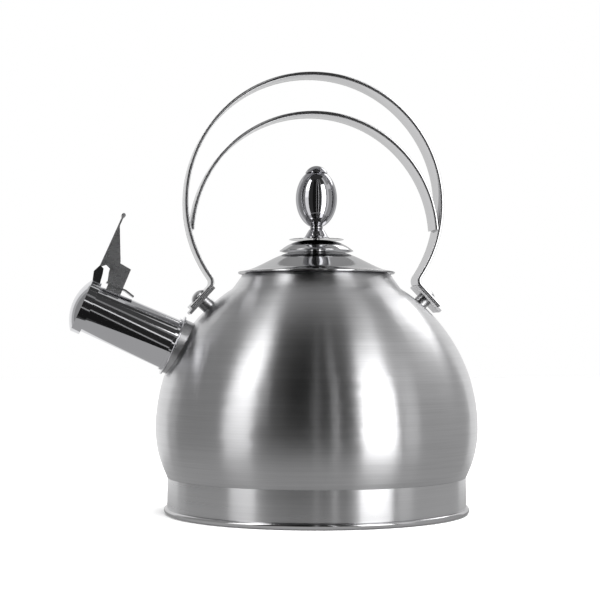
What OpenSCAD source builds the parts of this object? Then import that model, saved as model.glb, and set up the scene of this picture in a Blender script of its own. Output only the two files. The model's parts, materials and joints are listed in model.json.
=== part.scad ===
// Stovetop whistling kettle with a round steel vessel, a fixed double-strap handle,
// a lift-off lid and a spout whose whistle cap is flipped open by a thumb lever.
// Millimetres. Origin at the centre of the base's resting face, +Z up, spout towards -X.

/* [Vessel] */
// Largest radius of the round vessel
belly_r = 96.1; // [92:0.1:100]
// Height of the largest radius above the hob
belly_z = 50; // [48:0.5:52]
// Wall thickness of the pressed steel sheet
sheet_t = 0.8; // [0.6:0.1:1]
// Radius of the lid opening
neck_bore = 42.2; // [41.8:0.1:42.6]

/* [Base] */
// Outer radius of the straight band round the base
band_r = 89.1; // [88:0.1:90]
// Height of the seam between the band and the vessel
band_top = 21.3; // [20:0.1:22]
// Outer radius of the rolled rim
rim_r = 91; // [90.5:0.1:92]
// Radius of the capsule that rests on the hob
capsule_r = 84.8; // [80:0.1:86]

/* [Lid] */
// Radius of the lid's flange
lid_r = 47.3; // [46:0.1:48]
// Height of the lid's edge
lid_edge_z = 143.2; // [143:0.1:143.4]
// Rise of the lid from its edge to its flat middle
lid_rise = 12.3; // [11:0.1:13]
// Largest radius of the egg-shaped knob
egg_r = 12.4; // [10:0.1:14]

/* [Handle] */
// Outer radius of the large strap
loop_r = 78.3; // [77.8:0.1:78.8]
// Height of the large strap's centre
loop_z = 184.4; // [183.8:0.1:185]
// Width of both straps
strap_w = 18.6; // [16:0.2:22]
// Thickness of both straps
strap_t = 2.1; // [1.8:0.1:2.4]
// Outer radius of the inner strap
inner_loop_r = 75; // [74.6:0.1:75.4]
// Height of the inner strap's centre
inner_loop_z = 164.2; // [163.6:0.1:164.8]
// Lean of the whole handle towards the spout, in degrees
handle_lean = 0.6; // [0:0.1:1]

/* [Spout] */
// Angle of the spout above the horizontal
spout_rise = 24; // [22:0.5:26]
// Length of the tube in front of the collar
spout_len = 52.8; // [50:0.1:56]
// Outer radius of the tube at its mouth
mouth_r = 14.4; // [14:0.1:14.6]
// Outer radius of the tube at the vessel
root_r = 15.5; // [15:0.1:16]
// Outer radius of the collar
collar_r = 18.6; // [17.5:0.1:20]

/* [Whistle] */
// Outer radius of the whistle cap
cap_r = 16.5; // [16.4:0.1:17]
// Radius of the sound holes
sound_hole_r = 1.5; // [1:0.1:1.8]
// Radius of the hinge pin
pin_r = 1.25; // [1:0.05:1.4]
// Height of the thumb lever's tip above the spout's axis
lever_tip = 59.2; // [55:0.1:60]
// Half the width of the thumb lever
lever_half = 7; // [6.9:0.1:9]

/* [Hidden] */
$fn = 96;

steel = [0.75, 0.75, 0.76];
bright = [0.85, 0.85, 0.86];
dark_steel = [0.5, 0.5, 0.51];
far = 300; // larger than the kettle, for cutting shapes

// The upper part of the vessel is one arc and the lower part another; they meet upright at the belly.
dome_r = 98.6;
dome_x = belly_r - dome_r;
foot_arc_r = 62;
foot_arc_x = belly_r - foot_arc_r;

// Above the dome a short cone leads to a rounded shoulder, whose sheet turns down into the opening.
shoulder_mid = [40, 137]; // centre of the shoulder's round
shoulder_foot = [50.5, 133.1]; // a point on the cone
shoulder_slope = 54.2; // steepness of the cone in degrees
shoulder_lap = 12; // the cone's outline runs this far into the dome
shoulder_out = [sin(shoulder_slope), cos(shoulder_slope)];
shoulder_down = [cos(shoulder_slope), -sin(shoulder_slope)];
cone_far = (shoulder_foot - shoulder_mid) * shoulder_out; // distance of the cone from the round's centre
shoulder_r = cone_far + 0.08; // a hair larger, so that the cone cuts the round cleanly

rim_tube_r = 1.65;
rim_z = 1.95;
floor_z = 4.4;
capsule_t = 1;

spout_tilt = 90 - spout_rise;
mouth_x = -135;
mouth_z = 121.05;
collar_t = 1.2;
tube_t = 0.9;
hub_t = 0.9;
hub_len = 1.8;
sleeve_len = 8;
sleeve_r = collar_r - 1.6;
tube_behind = collar_t + sleeve_len; // tube behind the collar's front face

pin_a = -3.5; // hinge pin, ahead of the mouth plane
pin_n = 28.6; // hinge pin, above the spout's axis
ear_in = 5; // inner face of a bracket ear
ear_out = 5.8;
cheek_in = 6.1; // inner face of a lever cheek
cheek_out = 6.9;
running = 0.07; // radial clearance on the hinge pin

foot_angle = 47; // slope of the handle's feet below the horizontal
foot_len = 18;
bend_r = 4.5;
bend_t = strap_t + 0.1; // a hair thicker than the strips that it joins
bend_lap = 3; // degrees by which the bend runs into the strips beside it
loop_end = -35; // where the large strap stops following its circle
lean_z = 130; // height about which the handle leans
handle_shift = 1.1; // handle's offset towards the spout
rivet_along = 8.5; // rivet's place along the foot
mount_t = 1.6;
boss_r = 4.5;

lid_flat_r = 11; // flat middle of the lid
lid_run = 38; // horizontal run of the lid's S curve
lid_t = 0.8;

// Height of the lid's top surface at a radius: flat, then one smooth S down to the edge
function lid_z(r) =
    let (s = max(0, min(1, (r - lid_flat_r) / lid_run)))
    lid_edge_z + lid_rise * (1 + cos(180 * s)) / 2;

lid_top = lid_z(0);

// ---------- shared shapes ----------

// Flat ring sector, for straps and shells
module arc_strip(r_out, t, from, to) {
    steps = ceil((to - from) / 30);
    reach = 2 * r_out;
    intersection() {
        difference() {
            circle(r = r_out);
            circle(r = r_out - t);
        }
        polygon(concat([[0, 0]],
            [for (i = [0 : steps])
                let (a = from + (to - from) * i / steps)
                [reach * cos(a), reach * sin(a)]]));
    }
}

// Moves a shape into the spout's frame: local X is up across the tube, local Z is out of the mouth
module on_spout() {
    translate([mouth_x, 0, mouth_z]) rotate([0, -spout_tilt, 0]) children();
}

// Extrudes an outline drawn as [up, forward] across the spout between two y values
module across_spout(y0, y1) {
    on_spout()
        translate([0, y1, 0])
            rotate([90, 0, 0])
                linear_extrude(height = y1 - y0)
                    children();
}

module washer_ring(r_out, r_in, h) {
    difference() {
        cylinder(r = r_out, h = h);
        translate([0, 0, -1]) cylinder(r = r_in, h = h + 2);
    }
}

// Half outline of the vessel, filled to the axis; inset moves it inwards
module vessel_outline(inset) {
    intersection() {
        union() {
            intersection() {
                translate([dome_x, belly_z]) circle(r = dome_r - inset);
                translate([0, belly_z]) square([far, far]);
            }
            intersection() {
                union() {
                    translate([foot_arc_x, belly_z]) circle(r = foot_arc_r - inset);
                    translate([0, -far / 2]) square([foot_arc_x, far]);
                }
                translate([0, band_top]) square([far, belly_z - band_top]);
            }
        }
        translate([0, band_top]) square([far, far]);
    }
}

// Half outline of the shoulder round the lid opening; inset moves it inwards
module shoulder_outline(inset) {
    translate(shoulder_mid) circle(r = shoulder_r - inset);
    polygon([
        shoulder_mid,
        shoulder_mid + (cone_far - inset) * shoulder_out,
        shoulder_foot - inset * shoulder_out + shoulder_lap * shoulder_down,
        shoulder_mid - [0, shoulder_lap]]);
}

// ---------- vessel ----------

// The vessel with its shoulder, solid to the axis; inset moves the surface inwards
module vessel_solid(inset) {
    rotate_extrude() vessel_outline(inset);
    rotate_extrude() shoulder_outline(inset);
}

module body_shell() {
    color(steel)
    difference() {
        union() {
            difference() {
                vessel_solid(0);
                vessel_solid(sheet_t);
                cylinder(r = neck_bore, h = far);
            }
            // edge turned down into the opening
            rotate_extrude() intersection() {
                translate([neck_bore, shoulder_mid[1]]) square([sheet_t, shoulder_r]);
                translate(shoulder_mid) circle(r = shoulder_r);
            }
        }
        on_spout() translate([0, 0, -spout_len - 20]) cylinder(r = sleeve_r, h = 30);
    }
}

module base_band() {
    color(steel)
    translate([0, 0, 3.6]) washer_ring(band_r, band_r - sheet_t, band_top - 3.6);
}

module base_rim() {
    color(bright)
    rotate_extrude() {
        translate([rim_r - rim_tube_r, rim_z]) circle(r = rim_tube_r);
        translate([band_r - sheet_t - 0.4, 0.3]) square([rim_r - rim_tube_r - band_r + sheet_t + 0.4, 3.3]);
    }
}

module inner_floor() {
    color(dark_steel)
    translate([0, 0, floor_z]) cylinder(r = band_r - sheet_t, h = sheet_t);
}

module heat_disc() {
    color([0.7, 0.7, 0.7])
    translate([0, 0, capsule_t]) cylinder(r = capsule_r - sheet_t, h = floor_z - capsule_t);
}

module base_capsule() {
    color(dark_steel)
    difference() {
        rotate_extrude() {
            square([capsule_r - 1, floor_z]);
            translate([0, 1]) square([capsule_r, floor_z - 1]);
            translate([capsule_r - 1, 1]) circle(r = 1);
        }
        translate([0, 0, capsule_t]) cylinder(r = capsule_r - sheet_t, h = floor_z);
    }
}

// ---------- spout ----------

module spout_tube() {
    color(bright)
    on_spout() rotate_extrude()
        polygon([
            [mouth_r - tube_t, 0],
            [mouth_r, 0],
            [root_r, -spout_len],
            [root_r, -spout_len - tube_behind],
            [root_r - tube_t, -spout_len - tube_behind],
            [root_r - tube_t, -spout_len]]);
}

module spout_collar() {
    color(bright)
    on_spout() translate([0, 0, -spout_len - collar_t]) rotate_extrude() {
        translate([root_r, 0]) square([collar_r - root_r - collar_t / 2, collar_t]);
        translate([collar_r - collar_t / 2, collar_t / 2]) circle(r = collar_t / 2);
        // low hub in front of the flange
        translate([root_r, 0]) square([hub_t, collar_t + hub_len]);
    }
}

// Sleeve behind the flat collar that passes through the curved wall of the vessel
module spout_sleeve() {
    color(bright)
    on_spout() translate([0, 0, -spout_len - collar_t - sleeve_len]) washer_ring(sleeve_r, root_r, sleeve_len);
}

// ---------- whistle lever bracket on the tube ----------

module lever_bracket() {
    color(dark_steel)
    difference() {
        union() {
            // base strip with a tail along the tube
            across_spout(-ear_out, ear_out)
                polygon([[16, -20.5], [17, -20.5], [18.4, -15], [18.4, -2.6], [17.4, -2.6], [17.4, -14.6]]);
            // foot that joins the strip to the tube
            across_spout(-4, 4) polygon([[13, -13], [17.6, -13], [17.6, -4], [13, -4]]);
            for (side = [-1, 1])
                across_spout(side < 0 ? -ear_out : ear_in, side < 0 ? -ear_in : ear_out) {
                    polygon([[17.4, -12.8], [30.4, -12.5], [31.2, -5], [pin_n, -0.9], [24.1, -1.6], [17.4, -3.6]]);
                    translate([pin_n, pin_a]) circle(r = 2.7);
                }
        }
        across_spout(-ear_out - 1, ear_out + 1) translate([pin_n, pin_a]) circle(r = pin_r);
        on_spout() translate([0, 0, -spout_len])
            cylinder(r1 = root_r, r2 = mouth_r, h = spout_len);
    }
}

module hinge_pin() {
    color(bright)
    across_spout(-8, 8) translate([pin_n, pin_a]) circle(r = pin_r);
    for (side = [-1, 1])
        color(bright)
        across_spout(side < 0 ? -8.2 : cheek_out + 0.2, side < 0 ? -cheek_out - 0.2 : 8.2)
            translate([pin_n, pin_a]) circle(r = 2.1);
}

// Torsion spring: a short coil round the pin with one leg on the bracket and one behind the lever
coil_r = 2.35;
wire_r = 0.4;
coil_half = 3.6;
coil_step = 20; // degrees between the coil's rings
coil_rings = 74; // four turns and a little more, so that both legs leave it without a kink
wire_sides = 8;
coil_start = 292; // direction of the bracket leg's end of the coil
coil_path = concat(
    [[pin_n - 9.2, -coil_half, pin_a - 6.2]],
    [for (i = [0 : coil_rings])
        let (a = coil_start + coil_step * i)
        [pin_n + coil_r * cos(a), coil_half * (2 * i / coil_rings - 1), pin_a + coil_r * sin(a)]],
    [[pin_n + 4.9, coil_half, pin_a + 3.2]]);

function unit(v) = v / norm(v);
function tangent(p, i) = unit(p[min(i + 1, len(p) - 1)] - p[max(i - 1, 0)]);
function ring_at(p, i, r, sides) =
    let (t = tangent(p, i), u = unit(cross(t, abs(t[1]) < 0.9 ? [0, 1, 0] : [1, 0, 0])), v = cross(t, u))
    [for (k = [0 : sides - 1]) p[i] + r * (cos(360 * k / sides) * u + sin(360 * k / sides) * v)];

module swept_wire(path, r, sides) {
    n = len(path);
    points = [for (i = [0 : n - 1]) each ring_at(path, i, r, sides)];
    walls = [for (i = [0 : n - 2]) for (k = [0 : sides - 1])
        let (a = i * sides + k, b = i * sides + (k + 1) % sides)
        [a, a + sides, b + sides, b]];
    first_end = [for (k = [0 : sides - 1]) k];
    last_end = [for (k = [0 : sides - 1]) n * sides - 1 - k];
    polyhedron(points, concat(walls, [first_end], [last_end]), convexity = 8);
}

module torsion_spring() {
    color(bright) on_spout() swept_wire(coil_path, wire_r, wire_sides);
}

// ---------- handle ----------

foot_dir = [cos(foot_angle), -sin(foot_angle)];
foot_up = [sin(foot_angle), cos(foot_angle)];
loop_mid = loop_r - strap_t / 2;
bend_c = [0, loop_z] + (loop_mid + bend_r) * [cos(loop_end), sin(loop_end)];
foot_start = bend_c - bend_r * foot_up;
rivet_at = foot_start + rivet_along * foot_dir;

// Places an outline whose X runs down the right foot and whose Y points away from the vessel
module on_foot(along) {
    place = foot_start + along * foot_dir;
    translate(place) rotate(-foot_angle) children();
}

// Bend, foot and small upturned end of the large strap on the right
module strap_foot() {
    across_handle()
        translate(bend_c)
            arc_strip(bend_r + bend_t / 2, bend_t, 180 + loop_end - bend_lap, 270 - foot_angle + bend_lap);
    across_handle() on_foot(0) translate([0, -strap_t / 2]) square([foot_len, strap_t]);
    across_handle() on_foot(foot_len - 1.2) translate([0, strap_t / 2 - 0.1]) square([1.2, 1.3]);
}

// Sets the handle in its place, offset and leaning a little towards the spout
module as_fitted() {
    translate([-handle_shift, 0, lean_z])
        rotate([0, -handle_lean, 0])
            translate([0, 0, -lean_z])
                children();
}

module across_handle() {
    translate([0, strap_w / 2, 0]) rotate([90, 0, 0]) linear_extrude(height = strap_w) children();
}

module on_side(side) {
    if (side < 0)
        mirror([1, 0, 0]) children();
    else
        children();
}

// Repeats something on the left side of the handle
module both_sides() {
    children();
    on_side(-1) children();
}

// Axis of the right foot's rivet, with local Z pointing away from the vessel
module on_rivet() {
    translate([rivet_at[0], 0, rivet_at[1]]) rotate([0, foot_angle, 0]) children();
}

module handle_strap_outer() {
    color(bright)
    as_fitted() difference() {
        union() {
            across_handle() translate([0, loop_z]) arc_strip(loop_r, strap_t, loop_end, 180 - loop_end);
            both_sides() strap_foot();
        }
        both_sides() on_rivet() translate([0, 0, -5]) cylinder(r = 2.5, h = 10);
    }
}

module handle_strap_inner() {
    color(bright)
    as_fitted() across_handle() intersection() {
        translate([0, inner_loop_z]) difference() {
            circle(r = inner_loop_r);
            circle(r = inner_loop_r - strap_t);
        }
        translate([0, loop_z]) circle(r = loop_r - strap_t);
        translate([-far / 2, inner_loop_z + 4]) square([far, far]);
    }
}

// Plate under the foot on a boss that is welded to the vessel; side is 1 on the right and -1 on the left
module handle_mount(side) {
    color(dark_steel)
    difference() {
        as_fitted() on_side(side) {
            translate([0, 8, 0]) rotate([90, 0, 0]) linear_extrude(height = 16)
                on_foot(-1.5) translate([0, -strap_t / 2 - mount_t]) square([21, mount_t]);
            on_rivet() translate([0, 0, -14]) cylinder(r = boss_r, h = 14 - strap_t / 2 - 0.5);
        }
        rotate_extrude() vessel_outline(0);
        as_fitted() on_side(side) on_rivet() translate([0, 0, -6]) cylinder(r = 2.5, h = 20);
    }
}

module handle_mount_right() {
    handle_mount(1);
}

module handle_mount_left() {
    handle_mount(-1);
}

module handle_rivets() {
    color(bright)
    as_fitted() both_sides() on_rivet() {
        translate([0, 0, -6]) cylinder(r = 2.5, h = 6 + strap_t / 2 + 0.3);
        // domed head
        translate([0, 0, strap_t / 2 + 0.5]) intersection() {
            translate([0, 0, -3.9]) sphere(r = 6.3);
            cylinder(r = 6, h = 6);
        }
        translate([0, 0, strap_t / 2]) cylinder(r = 4.9, h = 0.6);
    }
}

// Load-spreading discs inside the vessel behind each handle mount
module mount_washers() {
    color(dark_steel)
    intersection() {
        as_fitted() both_sides() on_rivet() translate([0, 0, -20]) cylinder(r = 9, h = 20);
        rotate_extrude() difference() {
            vessel_outline(sheet_t);
            vessel_outline(2 * sheet_t);
        }
    }
}

// ---------- whistle cap and thumb lever ----------

module thumb_lever() {
    color(bright)
    difference() {
        union() {
            // thumb plate with rounded top corners
            on_spout() translate([0, 0, 3.9]) linear_extrude(height = 1) {
                translate([25.3, -lever_half]) square([lever_tip - 25.3 - 3, 2 * lever_half]);
                translate([40, 3 - lever_half]) square([lever_tip - 40, 2 * lever_half - 6]);
                for (side = [-1, 1])
                    translate([lever_tip - 3, side * (lever_half - 3)]) circle(r = 3);
            }
            // rolled tip
            across_spout(-lever_half + 2.5, lever_half - 2.5) translate([lever_tip - 1.4, 4.4]) circle(r = 1.2);
            // folded cheeks that reach back to the pin
            for (side = [-1, 1])
                across_spout(side < 0 ? -cheek_out : cheek_in, side < 0 ? -cheek_in : cheek_out) {
                    polygon([[25.3, 4.2], [51.6, 4.2], [31.6, -5.3], [25.9, -3.5], [26.6, -1], [27.6, 1.5]]);
                    translate([pin_n, pin_a]) circle(r = 2.8);
                }
        }
        across_spout(-lever_half - 1, lever_half + 1) translate([pin_n, pin_a]) circle(r = pin_r + running);
    }
}

cap_skirt = 5.5; // length of the cap's straight skirt
cap_back = -0.5; // the skirt reaches this far over the mouth
dome_rise = 5.5;
cap_dome_r = (cap_r * cap_r + dome_rise * dome_rise) / (2 * dome_rise);
cap_dome_z = cap_back + cap_skirt + dome_rise - cap_dome_r;

module cap_outline(inset) {
    translate([0, cap_back]) square([cap_r - inset, cap_skirt]);
    intersection() {
        translate([0, cap_dome_z]) circle(r = cap_dome_r - inset);
        translate([0, cap_back + cap_skirt - 0.01]) square([cap_r - inset, far]);
    }
}

module cap_shell() {
    color(bright)
    on_spout() rotate_extrude() difference() {
        cap_outline(0);
        cap_outline(sheet_t);
        translate([0, cap_back - 1]) square([cap_r - sheet_t, 3]);
        square([sound_hole_r + 0.3, far]);
    }
}

// Folded tab that joins the cap's skirt to the lever
module cap_arm() {
    color(bright)
    difference() {
        union() {
            across_spout(-5, 5)
                polygon([[14, 4], [14, 4.8], [20.8, 6.8], [25.3, 4.9], [25.3, 3.9], [20.8, 5.8]]);
            for (side = [-1, 1])
                across_spout(side < 0 ? -5 : 4.2, side < 0 ? -4.2 : 5)
                    polygon([[14, 0.3], [14, 4.4], [20.8, 6.4], [25.3, 4.4], [24.4, 2.2], [21.4, 1.4]]);
        }
        on_spout() rotate_extrude() cap_outline(0);
    }
}

plate_r = cap_r - sheet_t;

module whistle_rear_plate() {
    color(dark_steel) on_spout() translate([0, 0, 0.3]) washer_ring(plate_r, sound_hole_r, 0.6);
}

module whistle_spacer() {
    color(dark_steel) on_spout() translate([0, 0, 0.9]) washer_ring(plate_r, 12, 2.4);
}

module whistle_front_plate() {
    color(dark_steel) on_spout() translate([0, 0, 3.3]) washer_ring(plate_r, sound_hole_r, 0.6);
}

// ---------- lid and knob ----------

lid_radii = [0, each [lid_flat_r : 1 : lid_r]];
stud_r = 2;

module lid_cover() {
    color(bright)
    rotate_extrude() difference() {
        polygon(concat(
            [for (r = lid_radii) [r, lid_z(r)]],
            [for (i = [len(lid_radii) - 1 : -1 : 0]) [lid_radii[i], lid_z(lid_radii[i]) - lid_t]]));
        square([stud_r + 0.1, far]);
    }
}

lid_sleeve_r = neck_bore - 0.4;

// Ring under the lid that drops into the neck
module lid_sleeve() {
    color(dark_steel)
    difference() {
        translate([0, 0, 132]) washer_ring(lid_sleeve_r, lid_sleeve_r - sheet_t, 14);
        rotate_extrude() polygon(concat(
            [for (r = [30 : 1 : 45]) [r, lid_z(r) - lid_t]],
            [[45, far], [30, far]]));
    }
}

crown_r = 22.2;
crown_h = 6.6;
crown_top = 162.5;
crown_hub_r = 6;
crown_steps = 12;

// Height of the second tier's surface at a radius: steep at its edge and flat at the middle
function crown_z(r) = crown_top - crown_h * pow(r / crown_r, 3);

function crown_curve(drop, r_max) =
    [for (i = [0 : crown_steps]) let (r = r_max * i / crown_steps) [r, crown_z(r) - drop]];

// Domed second tier that overhangs the lid and stands on a solid hub
module lid_crown() {
    color(bright)
    rotate_extrude() difference() {
        polygon(concat([[0, lid_top]], crown_curve(0, crown_r), [[crown_r, lid_top]]));
        difference() {
            polygon(concat([[0, 0]], crown_curve(sheet_t, crown_r + 1), [[crown_r + 1, 0]]));
            square([crown_hub_r, far]);
        }
        square([stud_r + 0.1, far]);
    }
}

// Thin disc under the knob
module lid_disc() {
    color(bright)
    rotate_extrude() difference() {
        polygon([[0, crown_top], [13, crown_top], [16.2, crown_top + 0.1], [16.4, crown_top + 0.4],
            [12, crown_top + 1], [0, crown_top + 1]]);
        square([stud_r + 0.1, far]);
    }
}

knob_z = crown_top + 1;
bell_top = 169.1;
bead_tube_r = 0.85;
bead_z = bell_top + bead_tube_r;
bead_r = 3.9;
egg_bottom = bead_z + bead_tube_r;
egg_mid = 187.4;
egg_top = 202.9;
egg_half = 17.6;
finial_h = 4.3;
finial_r = 7.4;

function egg_at(z) = egg_r * sqrt(1 - pow((z - egg_mid) / egg_half, 2));

// Flared foot of the knob
module knob_base() {
    color(bright)
    rotate_extrude() difference() {
        polygon([[0, knob_z], [7.6, knob_z], [7.8, knob_z + 0.3], [7.7, knob_z + 0.6], [6.9, knob_z + 1.1],
            [5.9, knob_z + 2.8], [4.5, knob_z + 5.1], [3.4, bell_top], [0, bell_top]]);
        square([stud_r, far]);
    }
}

module knob_bead() {
    color(bright)
    rotate_extrude() difference() {
        union() {
            translate([bead_r - bead_tube_r, bead_z]) circle(r = bead_tube_r);
            translate([0, bell_top]) square([bead_r - bead_tube_r, egg_bottom - bell_top]);
        }
        square([stud_r, far]);
    }
}

module knob_egg() {
    color(bright)
    rotate_extrude() difference() {
        polygon(concat([[0, egg_bottom]],
            [for (i = [0 : 32]) let (z = egg_bottom + (egg_top - egg_bottom) * i / 32) [egg_at(z), z]],
            [[0, egg_top]]));
        square([stud_r, 185]);
    }
}

module knob_finial() {
    color(bright)
    translate([0, 0, egg_top]) intersection() {
        translate([0, 0, finial_h - finial_r]) sphere(r = finial_r);
        cylinder(r = 6.6, h = 6);
    }
}

module knob_stud() {
    color(dark_steel)
    translate([0, 0, lid_top - 7]) cylinder(r = stud_r, h = 185 - lid_top + 7);
}

module knob_washer() {
    color(dark_steel)
    translate([0, 0, lid_top - lid_t - 0.8]) washer_ring(6, stud_r, 0.8);
}

module knob_nut() {
    color(dark_steel)
    translate([0, 0, lid_top - lid_t - 4]) difference() {
        cylinder(r = 4.04, h = 3.2, $fn = 6);
        translate([0, 0, -1]) cylinder(r = stud_r, h = 6);
    }
}

body_shell();
base_band();
base_rim();
inner_floor();
heat_disc();
base_capsule();
spout_tube();
spout_collar();
spout_sleeve();
lever_bracket();
hinge_pin();
torsion_spring();
handle_strap_outer();
handle_strap_inner();
handle_mount_left();
handle_mount_right();
handle_rivets();
mount_washers();
thumb_lever();
cap_arm();
cap_shell();
whistle_front_plate();
whistle_spacer();
whistle_rear_plate();
lid_cover();
lid_sleeve();
lid_crown();
lid_disc();
knob_base();
knob_bead();
knob_egg();
knob_finial();
knob_stud();
knob_washer();
knob_nut();
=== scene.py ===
"""Stovetop whistling kettle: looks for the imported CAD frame.

Units are metres. Origin at the centre of the base's resting face, +Z up, spout towards -X.
"""
import json
import math

import bmesh
import bpy
from mathutils import Matrix, Vector


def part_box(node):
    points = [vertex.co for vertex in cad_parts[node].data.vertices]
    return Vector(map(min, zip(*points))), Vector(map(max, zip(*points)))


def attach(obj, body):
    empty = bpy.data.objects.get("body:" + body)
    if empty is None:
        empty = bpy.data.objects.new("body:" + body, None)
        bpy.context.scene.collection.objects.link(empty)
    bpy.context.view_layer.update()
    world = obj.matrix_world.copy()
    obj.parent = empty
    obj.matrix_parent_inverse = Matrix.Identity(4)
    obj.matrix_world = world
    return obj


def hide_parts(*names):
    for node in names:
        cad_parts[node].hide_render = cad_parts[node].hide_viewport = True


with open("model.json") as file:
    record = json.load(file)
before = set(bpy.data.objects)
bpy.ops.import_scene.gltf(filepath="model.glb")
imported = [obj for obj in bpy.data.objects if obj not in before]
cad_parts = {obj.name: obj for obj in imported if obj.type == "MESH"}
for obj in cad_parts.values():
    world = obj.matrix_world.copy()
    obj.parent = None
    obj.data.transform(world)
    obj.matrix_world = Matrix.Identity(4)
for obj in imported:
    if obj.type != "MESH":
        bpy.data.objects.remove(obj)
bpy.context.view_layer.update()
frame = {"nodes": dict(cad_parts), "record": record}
MM = 0.001

# ---------------------------------------------------------------- camera

CAMERA_AZIMUTH = -10.0      # degrees, the spout comes slightly towards the camera
CAMERA_DISTANCE = 0.90      # from the kettle's axis
CAMERA_HEIGHT = 0.103
AIM_HEIGHT = 0.1265
AIM_SIDE = -0.0099          # the view is centred a little towards the spout
FOCAL_LENGTH = 89.9         # on a 36 mm sensor


def make_camera():
    """Camera a little above the middle of the kettle, turned towards the spout's side."""
    azimuth = math.radians(CAMERA_AZIMUTH)
    back = Vector((math.sin(azimuth), -math.cos(azimuth), 0))
    right = Vector((math.cos(azimuth), math.sin(azimuth), 0))
    data = bpy.data.cameras.new("camera")
    camera = bpy.data.objects.new("camera", data)
    bpy.context.scene.collection.objects.link(camera)
    data.lens = FOCAL_LENGTH
    data.sensor_width = 36
    data.clip_start = 0.05
    data.clip_end = 50
    camera.location = back * CAMERA_DISTANCE + Vector((0, 0, CAMERA_HEIGHT))
    aim = right * AIM_SIDE + Vector((0, 0, AIM_HEIGHT))
    camera.rotation_mode = "QUATERNION"
    camera.rotation_quaternion = (aim - camera.location).to_track_quat("-Z", "Y")
    bpy.context.scene.camera = camera
    return camera


make_camera()

# ---------------------------------------------------------------- materials


class Nodes:
    """Small helper that builds a node tree one node at a time."""

    def __init__(self, name):
        self.material = bpy.data.materials.new(name)
        self.material.use_nodes = True
        self.tree = self.material.node_tree
        self.shader = self.tree.nodes["Principled BSDF"]

    def add(self, kind, **settings):
        node = self.tree.nodes.new(kind)
        for key, value in settings.items():
            if key in node.inputs.keys():
                node.inputs[key].default_value = value
            else:
                setattr(node, key, value)
        return node

    def link(self, out, into):
        self.tree.links.new(out, into)

    def math(self, operation, a, b=None):
        node = self.add("ShaderNodeMath", operation=operation)
        for socket, value in zip(node.inputs, (a, b)):
            if value is None:
                continue
            if isinstance(value, (int, float)):
                socket.default_value = value
            else:
                self.link(value, socket)
        return node.outputs[0]

    def noise(self, vector, scale, detail=2.0, roughness=0.5):
        node = self.add("ShaderNodeTexNoise")
        node.inputs["Scale"].default_value = scale
        node.inputs["Detail"].default_value = detail
        node.inputs["Roughness"].default_value = roughness
        self.link(vector, node.inputs["Vector"])
        return node.outputs["Fac"]

    def remap(self, value, low, high, to_low, to_high):
        node = self.add("ShaderNodeMapRange")
        for key, number in (("From Min", low), ("From Max", high), ("To Min", to_low), ("To Max", to_high)):
            node.inputs[key].default_value = number
        self.link(value, node.inputs["Value"])
        return node.outputs["Result"]

    def ramp(self, value, stops):
        node = self.add("ShaderNodeValToRGB")
        elements = node.color_ramp.elements
        while len(elements) < len(stops):
            elements.new(0.5)
        for element, (place, colour) in zip(elements, stops):
            element.position = place
            element.color = (*colour, 1)
        self.link(value, node.inputs["Fac"])
        return node.outputs["Color"]

    def stretch(self, vector, scale):
        node = self.add("ShaderNodeMapping")
        node.inputs["Scale"].default_value = scale
        self.link(vector, node.inputs["Vector"])
        return node.outputs["Vector"]

    def object_coords(self):
        return self.add("ShaderNodeTexCoord").outputs["Object"]

    def ring_coords(self, turns, fine):
        """Coordinates that run slowly round the Z axis and fast up it, for round brushing."""
        parts = self.add("ShaderNodeSeparateXYZ")
        self.link(self.object_coords(), parts.inputs[0])
        x, y, z = parts.outputs
        reach = self.math("SQRT", self.math("ADD", self.math("MULTIPLY", x, x), self.math("MULTIPLY", y, y)))
        joined = self.add("ShaderNodeCombineXYZ")
        self.link(self.math("MULTIPLY", self.math("DIVIDE", x, reach), turns), joined.inputs[0])
        self.link(self.math("MULTIPLY", self.math("DIVIDE", y, reach), turns), joined.inputs[1])
        self.link(self.math("MULTIPLY", self.math("ADD", z, self.math("MULTIPLY", reach, 0.37)), fine),
                  joined.inputs[2])
        return joined.outputs[0]

    def bump(self, height, distance, strength=1.0):
        node = self.add("ShaderNodeBump")
        node.inputs["Distance"].default_value = distance
        node.inputs["Strength"].default_value = strength
        self.link(height, node.inputs["Height"])
        self.link(node.outputs["Normal"], self.shader.inputs["Normal"])

    def finish(self, colour=None, **sockets):
        for key, value in sockets.items():
            key = key.replace("_", " ")
            if isinstance(value, (int, float, tuple)):
                self.shader.inputs[key].default_value = value
            else:
                self.link(value, self.shader.inputs[key])
        if colour is not None:
            if isinstance(colour, tuple):
                self.shader.inputs["Base Color"].default_value = (*colour, 1)
            else:
                self.link(colour, self.shader.inputs["Base Color"])
        return self.material


def brushed_round(name, colour, roughness, anisotropy, depth, streak):
    """Steel brushed round the Z axis: fine rings with faint broad clouding.

    streak is the tone of the darkest rings against the lightest.
    """
    n = Nodes(name)
    fine = n.noise(n.ring_coords(1.6, 2600.0), 1.0, 3.0, 0.6)
    coarse = n.noise(n.ring_coords(1.3, 420.0), 1.0, 2.0, 0.5)
    clouds = n.noise(n.object_coords(), 16.0, 3.0, 0.55)
    grain = n.math("ADD", n.math("MULTIPLY", fine, 0.55), n.math("MULTIPLY", coarse, 0.45))
    dark = tuple(c * streak for c in colour)
    tone = n.ramp(grain, [(0.3, dark), (0.7, colour)])
    rough = n.math("ADD", n.remap(grain, 0.3, 0.7, roughness - 0.02, roughness + 0.02),
                   n.remap(clouds, 0.3, 0.7, -0.01, 0.01))
    n.bump(grain, depth, 0.5)
    tangent = n.add("ShaderNodeTangent", direction_type="RADIAL", axis="Z")
    n.link(tangent.outputs[0], n.shader.inputs["Tangent"])
    return n.finish(tone, Metallic=1.0, Roughness=rough, Anisotropic=anisotropy, Anisotropic_Rotation=0.25)


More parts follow.
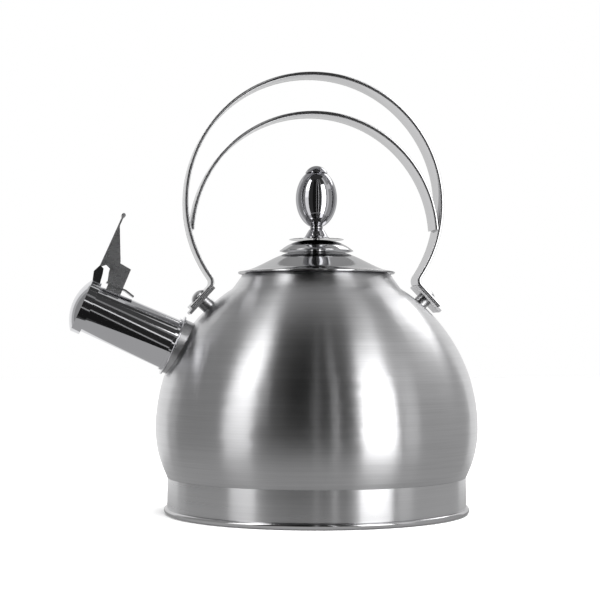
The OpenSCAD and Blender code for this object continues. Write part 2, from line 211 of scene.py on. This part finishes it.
def polished(name, colour, roughness, smear, edge=1.0):
    """Bright polished steel or chrome with faint wipe marks; edge below 1 tones down the grazing shine."""
    n = Nodes(name)
    coords = n.object_coords()
    wipes = n.noise(n.stretch(coords, (60.0, 60.0, 14.0)), 1.0, 4.0, 0.6)
    clouds = n.noise(coords, 30.0, 2.0, 0.5)
    mix = n.math("ADD", n.math("MULTIPLY", wipes, 0.6), n.math("MULTIPLY", clouds, 0.4))
    rough = n.remap(mix, 0.35, 0.7, roughness, roughness + smear)
    tone = n.ramp(mix, [(0.3, colour), (0.75, tuple(c * 0.96 for c in colour))])
    return n.finish(tone, Metallic=1.0, Roughness=rough, Specular_Tint=(edge, edge, edge, 1))


def plain_sheet(name, colour, roughness):
    """Mill-finished sheet for pressed and hidden parts."""
    n = Nodes(name)
    coords = n.object_coords()
    streaks = n.noise(n.stretch(coords, (300.0, 2600.0, 2600.0)), 1.0, 2.0, 0.5)
    clouds = n.noise(coords, 55.0, 3.0, 0.55)
    tone = n.ramp(clouds, [(0.3, tuple(c * 0.88 for c in colour)), (0.7, colour)])
    rough = n.remap(streaks, 0.3, 0.7, roughness - 0.05, roughness + 0.05)
    n.bump(streaks, 0.000004, 0.3)
    return n.finish(tone, Metallic=1.0, Roughness=rough)


SLOT_MATERIALS = {
    "brushed_body": brushed_round("body_brushed", (0.65, 0.65, 0.66), 0.31, 0.95, 0.00002, 0.84),
    "brushed_band": brushed_round("band_brushed", (0.68, 0.68, 0.69), 0.29, 0.95, 0.00001, 0.90),
    "polished_steel": polished("strap_polished", (0.66, 0.66, 0.67), 0.09, 0.03, edge=0.75),
    "spout_chrome": polished("spout_chrome", (0.70, 0.70, 0.72), 0.05, 0.02),
    "lever_steel": plain_sheet("lever_sheet", (0.50, 0.50, 0.51), 0.30),
    "plain_steel": plain_sheet("mill_sheet", (0.58, 0.58, 0.59), 0.33),
    "heat_aluminium": plain_sheet("aluminium_disc", (0.78, 0.78, 0.79), 0.4),
    "spring_steel": polished("spring_wire", (0.62, 0.62, 0.63), 0.16, 0.04),
    "lid_chrome": polished("lid_chrome", (0.60, 0.60, 0.61), 0.09, 0.03, edge=0.7),
    "knob_chrome": polished("knob_chrome", (0.52, 0.52, 0.54), 0.05, 0.02, edge=0.6),
}


def dress_cad_nodes():
    for row in frame["record"]["subparts"]:
        node = frame["nodes"][row["node"]]
        material = SLOT_MATERIALS[row["material_slot"]]
        node.data.materials.clear()
        node.data.materials.append(material)


def soften_shading(name):
    """Shades a turned CAD node smoothly over the shallow folds between its faces."""
    node = frame["nodes"][name]
    weld = node.modifiers.new("weld", "WELD")
    weld.merge_threshold = 0.000001
    node.modifiers.new("soft_normals", "WEIGHTED_NORMAL")


dress_cad_nodes()
soften_shading("body_shell")

# ---------------------------------------------------------------- mesh helpers

RING_STEPS = 192
SHARP_ANGLE = math.radians(35)


def new_piece(name, mesh, body, slot, replaced=()):
    """A finished mesh as a piece that rides on a body and stands for CAD nodes."""
    mesh.set_sharp_from_angle(angle=SHARP_ANGLE)
    mesh.materials.append(SLOT_MATERIALS[slot])
    piece = bpy.data.objects.new(name, mesh)
    bpy.context.scene.collection.objects.link(piece)
    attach(piece, body)
    if replaced:
        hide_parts(*replaced)
    return piece


def lathe_mesh(name, outline, steps=RING_STEPS):
    """Closed outline of (radius, height) in millimetres, turned round Z. Radius 0 closes at a point."""
    bm = bmesh.new()
    rings = []
    for r, z in outline:
        if r < 1e-6:
            rings.append([bm.verts.new((0, 0, z * MM))])
            continue
        rings.append([bm.verts.new((r * MM * math.cos(2 * math.pi * k / steps),
                                    r * MM * math.sin(2 * math.pi * k / steps), z * MM))
                      for k in range(steps)])
    pairs = list(zip(rings, rings[1:] + rings[:1]))
    for low, high in pairs:
        if len(low) == 1 and len(high) == 1:
            continue
        for k in range(steps):
            n = (k + 1) % steps
            corners = [low[k % len(low)], low[n % len(low)], high[n % len(high)], high[k % len(high)]]
            unique = list(dict.fromkeys(corners))
            bm.faces.new(unique)
    bmesh.ops.recalc_face_normals(bm, faces=bm.faces)
    for face in bm.faces:
        face.smooth = True
    mesh = bpy.data.meshes.new(name)
    bm.to_mesh(mesh)
    bm.free()
    return mesh


def arc_points(centre, radius, start, end, count):
    """Points on an arc in degrees, as (x, y) pairs."""
    return [(centre[0] + radius * math.cos(math.radians(start + (end - start) * i / count)),
             centre[1] + radius * math.sin(math.radians(start + (end - start) * i / count)))
            for i in range(count + 1)]


# ---------------------------------------------------------------- handle straps

STRAP_T = 2.1
STRAP_EDGE = 0.45           # rounding of the strap's long edges
LOOP_Z = 184.4
LOOP_MID = 78.3 - STRAP_T / 2
LOOP_END = -35.0
BEND_R = 4.5
FOOT_ANGLE = 47.0
FOOT_LENGTH = 18.0
INNER_Z = 164.2
INNER_MID = 75.0 - STRAP_T / 2
INNER_CUT = 4.2             # the inner strap ends this far above its centre
LEAN_Z = 130.0
HANDLE_LEAN = 0.6           # degrees towards the spout
HANDLE_SHIFT = 1.1


def strap_mesh(name, path, width):
    """Strip with rounded edges along a path of (x, z) points in millimetres."""
    half_w, half_t, edge = width / 2, STRAP_T / 2, STRAP_EDGE
    corner = []
    for cy, cn, start in ((half_w - edge, half_t - edge, 0), (-half_w + edge, half_t - edge, 90),
                          (-half_w + edge, -half_t + edge, 180), (half_w - edge, -half_t + edge, 270)):
        corner += arc_points((cy, cn), edge, start, start + 90, 4)
    bm = bmesh.new()
    rings = []
    for i, (x, z) in enumerate(path):
        before = path[max(i - 1, 0)]
        after = path[min(i + 1, len(path) - 1)]
        run = Vector((after[0] - before[0], after[1] - before[1])).normalized()
        normal = (-run.y, run.x)
        rings.append([bm.verts.new(((x + n * normal[0]) * MM, y * MM, (z + n * normal[1]) * MM))
                      for y, n in corner])
    count = len(corner)
    for a, b in zip(rings, rings[1:]):
        for k in range(count):
            n = (k + 1) % count
            bm.faces.new((a[k], a[n], b[n], b[k]))
    bm.faces.new(rings[0])
    bm.faces.new(rings[-1])
    bmesh.ops.recalc_face_normals(bm, faces=bm.faces)
    for face in bm.faces:
        face.smooth = True
    mesh = bpy.data.meshes.new(name)
    bm.to_mesh(mesh)
    bm.free()
    return mesh


def foot_path():
    """Right foot: from the end of the large loop, round the bend and down to the upturned tip."""
    end = math.radians(LOOP_END)
    reach = LOOP_MID + BEND_R
    centre = (reach * math.cos(end), LOOP_Z + reach * math.sin(end))
    bend = arc_points(centre, BEND_R, 180 + LOOP_END, 270 - FOOT_ANGLE, 14)
    down = (math.cos(math.radians(FOOT_ANGLE)), -math.sin(math.radians(FOOT_ANGLE)))
    foot = [(bend[-1][0] + down[0] * FOOT_LENGTH * t, bend[-1][1] + down[1] * FOOT_LENGTH * t)
            for t in (0.25, 0.5, 0.75, 0.93)]
    return bend + foot


def as_fitted(mesh):
    """The handle is offset and leans a little towards the spout, as in the CAD."""
    lean = Matrix.Rotation(math.radians(-HANDLE_LEAN), 4, "Y")
    mesh.transform(Matrix.Translation((-HANDLE_SHIFT * MM, 0, LEAN_Z * MM)) @ lean
                   @ Matrix.Translation((0, 0, -LEAN_Z * MM)))
    return mesh


def make_straps():
    """The large strap with both feet, and the smaller arch inside it."""
    width = (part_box("handle_strap_outer")[1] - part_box("handle_strap_outer")[0]).y / MM
    right = foot_path()
    loop = arc_points((0, LOOP_Z), LOOP_MID, LOOP_END, 180 - LOOP_END, 160)
    left = [(-x, z) for x, z in reversed(right)]
    path = list(reversed(right)) + loop[1:-1] + list(reversed(left))
    new_piece("large_strap", as_fitted(strap_mesh("large_strap", path, width)), "kettle", "polished_steel",
              ["handle_strap_outer"])
    end = math.degrees(math.asin(INNER_CUT / INNER_MID))
    path = arc_points((0, INNER_Z), INNER_MID, end, 180 - end, 140)
    new_piece("inner_strap", as_fitted(strap_mesh("inner_strap", path, width)), "kettle", "polished_steel",
              ["handle_strap_inner"])


# ---------------------------------------------------------------- lid and knob

LID_R = 47.3
LID_EDGE_Z = 143.2
LID_RISE = 12.3
LID_FLAT = 11.0
LID_RUN = 38.0
LID_T = 0.8


def lid_z(r):
    share = max(0.0, min(1.0, (r - LID_FLAT) / LID_RUN))
    return LID_EDGE_Z + LID_RISE * (1 + math.cos(math.pi * share)) / 2


def make_lid():
    """The lid's first tier with a rounded edge, and everything on it."""
    edge_r = LID_R - LID_T
    radii = [0.0] + [4 + 0.5 * i for i in range(int((edge_r - 4) / 0.5) + 1)]
    top = [(r, lid_z(r)) for r in radii]
    edge_z = lid_z(edge_r)
    rim = arc_points((LID_R - 0.7, edge_z - 0.6), 0.6, 80, -90, 8)
    under = [(r, lid_z(r) - LID_T) for r in reversed(radii)]
    new_piece("lid_cover_turned", lathe_mesh("lid_cover_turned", top + rim + under), "lid", "lid_chrome",
              ["lid_cover"])
    make_crown()
    make_knob()


CROWN_R = 22.2
CROWN_H = 6.6
CROWN_TOP = 162.5
CROWN_T = 0.7
CROWN_HUB_R = 6.0           # solid hub that the crown stands on
DISC_R = 16.4
DISC_DROP = 0.55            # fall of the disc's upper face towards its edge
KNOB_Z = CROWN_TOP + 1
BELL_TOP = 169.1
BEAD_TUBE_R = 0.85
BEAD_Z = BELL_TOP + BEAD_TUBE_R
BEAD_R = 3.9
EGG_R = 12.4
EGG_BOTTOM = BEAD_Z + BEAD_TUBE_R
EGG_MID = 187.4
EGG_TOP = 202.9
EGG_HALF = 17.6
FINIAL_H = 4.3
FINIAL_R = 7.4


def crown_z(r):
    return CROWN_TOP - CROWN_H * (r / CROWN_R) ** 3


def make_crown():
    """Domed second tier with a rounded lip, and the thin disc on it."""
    radii = [3 + (CROWN_R - 3.2) * i / 40 for i in range(41)]
    top = [(0, CROWN_TOP)] + [(r, crown_z(r)) for r in radii]
    lip = arc_points((CROWN_R - 0.3, crown_z(CROWN_R - 0.2) - 0.15), 0.3, 40, -120, 6)
    under = [(r, crown_z(r) - CROWN_T) for r in reversed(radii[:-1]) if r > CROWN_HUB_R]
    under += [(CROWN_HUB_R, lid_z(0)), (0, lid_z(0))]
    new_piece("lid_crown_turned", lathe_mesh("lid_crown_turned", top + lip + under), "lid", "lid_chrome",
              ["lid_crown"])
    steps = [DISC_R * share for share in (0.25, 0.4, 0.55, 0.7, 0.82, 0.9, 0.96, 0.985)]
    top = [(0, KNOB_Z)] + [(r, KNOB_Z - DISC_DROP * (r / DISC_R) ** 2) for r in steps]
    under = [(r, KNOB_Z - 0.45 - 0.5 * (r / DISC_R) ** 2) for r in reversed(steps)]
    edge = [(DISC_R - 0.05, KNOB_Z - 0.62), (DISC_R, KNOB_Z - 0.76), (DISC_R - 0.08, KNOB_Z - 0.88)]
    new_piece("lid_disc_turned", lathe_mesh("lid_disc_turned", top + edge + under + [(0, KNOB_Z - 0.5)]),
              "lid", "lid_chrome", ["lid_disc"])


def smooth_through(points, count):
    """Catmull-Rom curve through a few given profile points."""
    out = []
    for i in range(len(points) - 1):
        p0, p1, p2, p3 = (Vector(points[max(0, min(len(points) - 1, i + k))]) for k in (-1, 0, 1, 2))
        for step in range(count):
            t = step / count
            out.append(tuple(0.5 * (2 * p1 + (p2 - p0) * t + (2 * p0 - 5 * p1 + 4 * p2 - p3) * t * t
                                    + (3 * p1 - p0 - 3 * p2 + p3) * t ** 3)))
    return out + [tuple(points[-1])]


def make_knob():
    """Flared foot, bead, egg and small cap."""
    flare = smooth_through([(7.75, KNOB_Z + 0.55), (6.9, KNOB_Z + 1.1), (5.9, KNOB_Z + 2.8),
                            (4.5, KNOB_Z + 5.1), (3.5, BELL_TOP)], 6)
    foot = [(0, KNOB_Z), (7.5, KNOB_Z), (7.75, KNOB_Z + 0.15), (7.82, KNOB_Z + 0.35)]
    new_piece("knob_foot", lathe_mesh("knob_foot", foot + flare + [(0, BELL_TOP)], 128), "lid", "knob_chrome",
              ["knob_base"])
    bead = arc_points((BEAD_R - BEAD_TUBE_R, BEAD_Z), BEAD_TUBE_R, -90, 90, 16)
    new_piece("knob_ring", lathe_mesh("knob_ring", [(0, BELL_TOP)] + bead + [(0, EGG_BOTTOM)], 96), "lid",
              "knob_chrome", ["knob_bead"])
    start = math.degrees(math.asin((EGG_BOTTOM - EGG_MID) / EGG_HALF))
    end = math.degrees(math.asin((EGG_TOP - EGG_MID) / EGG_HALF))
    egg = [(EGG_R * x, EGG_MID + EGG_HALF * y) for x, y in arc_points((0, 0), 1, start, end, 72)]
    new_piece("knob_egg_turned", lathe_mesh("knob_egg_turned", [(0, EGG_BOTTOM)] + egg + [(0, EGG_TOP)]), "lid",
              "knob_chrome", ["knob_egg"])
    low = math.degrees(math.asin((FINIAL_R - FINIAL_H) / FINIAL_R))
    dome = arc_points((0, EGG_TOP + FINIAL_H - FINIAL_R), FINIAL_R, low, 90, 24)
    new_piece("knob_cap_turned", lathe_mesh("knob_cap_turned", [(0, EGG_TOP)] + dome[:-1]
                                            + [(0, EGG_TOP + FINIAL_H)], 128), "lid", "knob_chrome",
              ["knob_finial"])


# ---------------------------------------------------------------- stage

FLOOR_SIZE = 6.0
TABLE_RADIUS = 0.21
TABLE_GREY = 0.43           # what the metal sees of the table it stands on
TENT_RADIUS = 1.3
TENT_STEP = 3.0             # degrees between the panels' corners
TENT_FOOT = -1.8            # the flats hang below the table's edge
TENT_TOP = 2.6
BACK_TOP = 1.0              # the flats behind are bright below this height
HIGH_BACK = 0.42            # and grey above it, which is what the lid shows

# Studio flats round the kettle: name, azimuth from and to (degrees), bottom, top (metres), brightness.
# Azimuth 0 is the front and 90 the right. Dark flats in front, softboxes left and right of the camera.
PANELS = [
    ("flat_back_left", -180, -137, TENT_FOOT, BACK_TOP, 0.95),
    ("flat_above_back_left", -180, -137, BACK_TOP, TENT_TOP, HIGH_BACK),
    ("flat_left_edge", -137, -124, TENT_FOOT, TENT_TOP, 0.50),
    ("flat_left", -124, -76, TENT_FOOT, TENT_TOP, 0.30),
    ("softbox_low_left", -76, -55, TENT_FOOT, 0.30, 1.20),
    ("softbox_left", -76, -55, 0.30, 0.70, 1.70),
    ("softbox_high_left", -76, -55, 0.70, 2.1, 3.60),
    ("flag_above_left", -76, -55, 2.1, TENT_TOP, 0.06),
    ("flag_left", -55, -31, TENT_FOOT, TENT_TOP, 0.045),
    ("flag_front", -31, -11, TENT_FOOT, TENT_TOP, 0.012),
    ("slit_one", -11, -9, TENT_FOOT, TENT_TOP, 0.40),
    ("flag_two", -9, 2, TENT_FOOT, TENT_TOP, 0.02),
    ("slit_two", 2, 4, TENT_FOOT, TENT_TOP, 1.10),
    ("flag_three", 4, 15, TENT_FOOT, TENT_TOP, 0.04),
    ("flat_near_right", 15, 21, TENT_FOOT, TENT_TOP, 0.25),
    ("softbox_right", 21, 46, TENT_FOOT, 1.3, 3.20),
    ("flag_above_right", 21, 46, 1.3, TENT_TOP, 0.06),
    ("flag_right", 46, 51, TENT_FOOT, TENT_TOP, 0.10),
    ("flat_right_edge", 51, 64, TENT_FOOT, TENT_TOP, 0.80),
    ("flat_right", 64, 124, TENT_FOOT, 0.75, 0.43),
    ("flat_above_right", 64, 112, 0.75, 1.1, 0.85),
    ("flat_top_right", 64, 112, 1.1, TENT_TOP, 0.40),
    ("softbox_high_right", 112, 150, 0.75, 1.6, 3.00),
    ("flat_over_softbox", 112, 150, 1.6, TENT_TOP, HIGH_BACK),
    ("flat_back_right", 124, 150, TENT_FOOT, 0.75, 0.90),
    ("flat_back", 150, 180, TENT_FOOT, BACK_TOP, 0.90),
    ("flat_above_back", 150, 180, BACK_TOP, TENT_TOP, HIGH_BACK),
]
ROOF_FRONT = 0.05           # the half of the roof over the camera
ROOF_BACK = 0.6


def glow(name, strength):
    """Material of a stage flat that shines evenly."""
    material = bpy.data.materials.new(name)
    material.use_nodes = True
    tree = material.node_tree
    tree.nodes.clear()
    out = tree.nodes.new("ShaderNodeOutputMaterial")
    light = tree.nodes.new("ShaderNodeEmission")
    light.inputs["Strength"].default_value = strength
    tree.links.new(light.outputs[0], out.inputs["Surface"])
    return material


def stage_mesh(name, points, faces, material):
    mesh = bpy.data.meshes.new(name)
    mesh.from_pydata(points, [], faces)
    mesh.materials.append(material)
    thing = bpy.data.objects.new(name, mesh)
    bpy.context.scene.collection.objects.link(thing)
    return thing


def reflections_only(thing):
    """Stage flats are seen in the metal, and neither by the camera nor as light on the floor."""
    thing.visible_camera = False
    thing.visible_diffuse = False
    thing.visible_shadow = False


def make_panel(name, start, end, bottom, top, brightness):
    """Upright flat on an arc round the kettle."""
    steps = max(1, round((end - start) / TENT_STEP))
    points = []
    for i in range(steps + 1):
        a = math.radians(start + (end - start) * i / steps)
        x, y = TENT_RADIUS * math.sin(a), -TENT_RADIUS * math.cos(a)
        points += [(x, y, bottom), (x, y, top)]
    faces = [(2 * i, 2 * i + 2, 2 * i + 3, 2 * i + 1) for i in range(steps)]
    reflections_only(stage_mesh(name, points, faces, glow(name, brightness)))


def make_disc(name, radius, z, start, end, brightness):
    """Flat sector of a disc in the given range of azimuths."""
    steps = round((end - start) / TENT_STEP)
    angles = [math.radians(start + (end - start) * i / steps) for i in range(steps + 1)]
    points = [(radius * math.sin(a), -radius * math.cos(a), z) for a in angles] + [(0, 0, z)]
    faces = [(i, i + 1, steps + 1) for i in range(steps)]
    reflections_only(stage_mesh(name, points, faces, glow(name, brightness)))


def make_floor():
    """The pale floor that the camera sees, and the table and roof that show in the metal."""
    h = FLOOR_SIZE / 2
    corners = [(-h, -h, -0.0002), (h, -h, -0.0002), (h, h, -0.0002), (-h, h, -0.0002)]
    seen = stage_mesh("floor", corners, [(0, 1, 2, 3)],
                      Nodes("floor_pale").finish((0.92, 0.92, 0.92), Roughness=0.8))
    seen.visible_glossy = False
    make_disc("table_grey", TABLE_RADIUS, -0.0004, -180, 180, TABLE_GREY)
    make_disc("roof_front", TENT_RADIUS, TENT_TOP, -90, 90, ROOF_FRONT)
    make_disc("roof_back", TENT_RADIUS, TENT_TOP, 90, 270, ROOF_BACK)


def make_top_light():
    """Soft overhead light for the floor and its contact shadow."""
    data = bpy.data.lights.new("top_light", "AREA")
    data.shape = "DISK"
    data.size = 1.6
    data.energy = 60
    lamp = bpy.data.objects.new("top_light", data)
    bpy.context.scene.collection.objects.link(lamp)
    lamp.location = (0.2, -0.3, 1.5)
    lamp.rotation_mode = "QUATERNION"
    lamp.rotation_quaternion = Vector(lamp.location).to_track_quat("Z", "Y")
    lamp.visible_glossy = False
    lamp.visible_camera = False


def make_world():
    world = bpy.data.worlds.new("studio")
    bpy.context.scene.world = world
    world.use_nodes = True
    background = world.node_tree.nodes["Background"]
    background.inputs["Color"].default_value = (1, 1, 1, 1)
    background.inputs["Strength"].default_value = 1.0


make_straps()
make_lid()
make_floor()
make_world()
make_top_light()
for panel in PANELS:
    make_panel(*panel)

bpy.context.scene.view_settings.view_transform = "Standard"
